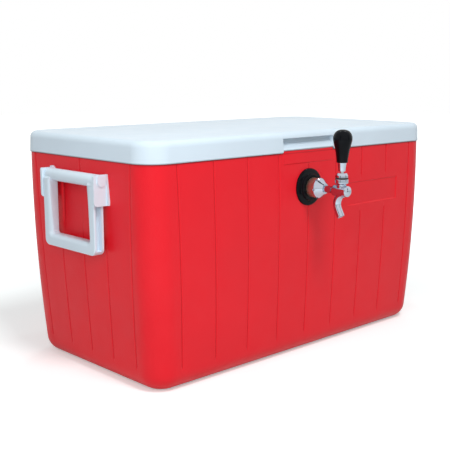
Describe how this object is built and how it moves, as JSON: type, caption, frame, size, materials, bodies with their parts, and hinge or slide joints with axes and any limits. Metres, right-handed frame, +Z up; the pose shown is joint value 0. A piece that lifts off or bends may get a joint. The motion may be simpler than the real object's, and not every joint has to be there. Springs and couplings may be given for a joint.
{
  "type": "jockey box beer cooler",
  "caption": "Insulated chest cooler with hinged lid, bail handles, a beer tap on the front, an inner cooling coil, a keg-line inlet behind and a drain.",
  "frame": {"origin": "under the middle of the flat base", "axes": "X along the chest's length, the tap faces -Y, +Z up"},
  "size_m": [0.6988, 0.4347, 0.371],
  "materials": {
    "red_plastic": "blow-moulded polyethylene with a fine pebble grain, satin",
    "white_plastic": "moulded polyethylene, satin, faintly blue white",
    "foam": null,
    "steel": "stainless, drawn",
    "black_rubber": "moulded rubber",
    "black_gloss": "polished black",
    "brass": "turned brass",
    "chrome": "polished chrome plate",
    "clear_hose": "vinyl hose, milky"
  },
  "bodies": {
    "chest": {"outer_shell": "red_plastic", "foam_core": "foam", "tub_liner": "white_plastic", "bracket_left_front": "white_plastic", "bracket_left_rear": "white_plastic", "bracket_right_front": "white_plastic", "bracket_right_rear": "white_plastic", "hinge_base_left": "white_plastic", "hinge_base_right": "white_plastic", "hinge_pin_left": "steel", "hinge_pin_right": "steel", "hinge_base_screws": "steel", "drain_spout": "white_plastic", "drain_gasket": "black_rubber", "drain_lock_nut": "white_plastic", "wall_flange": "black_gloss", "tap_shank": "brass", "shank_washer": "black_rubber", "shank_lock_nut": "brass", "tap_gasket": "black_rubber", "coupling_nut": "chrome", "tap_body": "chrome", "ball_washer": "black_rubber", "bonnet": "chrome", "tap_elbow": "steel", "tap_elbow_nut": "chrome", "tap_hose": "clear_hose", "cooling_coil": "steel", "inlet_hose": "clear_hose", "inlet_elbow": "steel", "inlet_elbow_nut": "chrome", "inlet_shank": "chrome", "inlet_gasket": "black_rubber", "inlet_washer": "black_rubber", "inlet_lock_nut": "brass", "hose_clamps": "steel"},
    "lid": {"lid_shell": "white_plastic", "lid_foam": "foam", "lid_liner": "white_plastic", "hinge_leaf_left": "white_plastic", "hinge_leaf_right": "white_plastic", "hinge_leaf_screws": "steel"},
    "handle_left": {"bail_handle_left": "white_plastic"},
    "handle_right": {"bail_handle_right": "white_plastic"},
    "tap_handle": {"tap_lever": "steel", "lever_ferrule": "chrome", "tap_knob": "black_gloss"},
    "valve": {"valve_shaft": "steel", "valve_seal": "black_rubber"},
    "drain_plug": {"drain_cap": "white_plastic", "drain_cap_seal": "black_rubber"}
  },
  "joints": [
    {"name": "lid_hinge", "type": "hinge", "parent": "chest", "child": "lid", "pos_m": [0, 0.171, 0.334], "axis": [-1, 0, 0], "range_deg": [0, 100]},
    {"name": "handle_left_swing", "type": "hinge", "parent": "chest", "child": "handle_left", "pos_m": [-0.33618, 0, 0.305], "axis": [0, 1, 0], "range_deg": [0, 170]},
    {"name": "handle_right_swing", "type": "hinge", "parent": "chest", "child": "handle_right", "pos_m": [0.33618, 0, 0.305], "axis": [0, -1, 0], "range_deg": [0, 170]},
    {"name": "tap_pull", "type": "hinge", "parent": "chest", "child": "tap_handle", "pos_m": [0, -0.2316, 0.2955], "axis": [1, 0, 0], "range_deg": [0, 20]},
    {"name": "valve_slide", "type": "slide", "parent": "chest", "child": "valve", "axis": [0, 1, 0], "range_m": [0, 0.0068]},
    {"name": "drain_cap_turn", "type": "hinge", "parent": "chest", "child": "drain_plug", "pos_m": [0.33, -0.028, 0.06], "axis": [1, 0, 0], "continuous": true}
  ],
  "couplings": [
    {"joint": "valve_slide", "follows": "tap_pull", "m_per_rad": 0.0191}
  ]
}
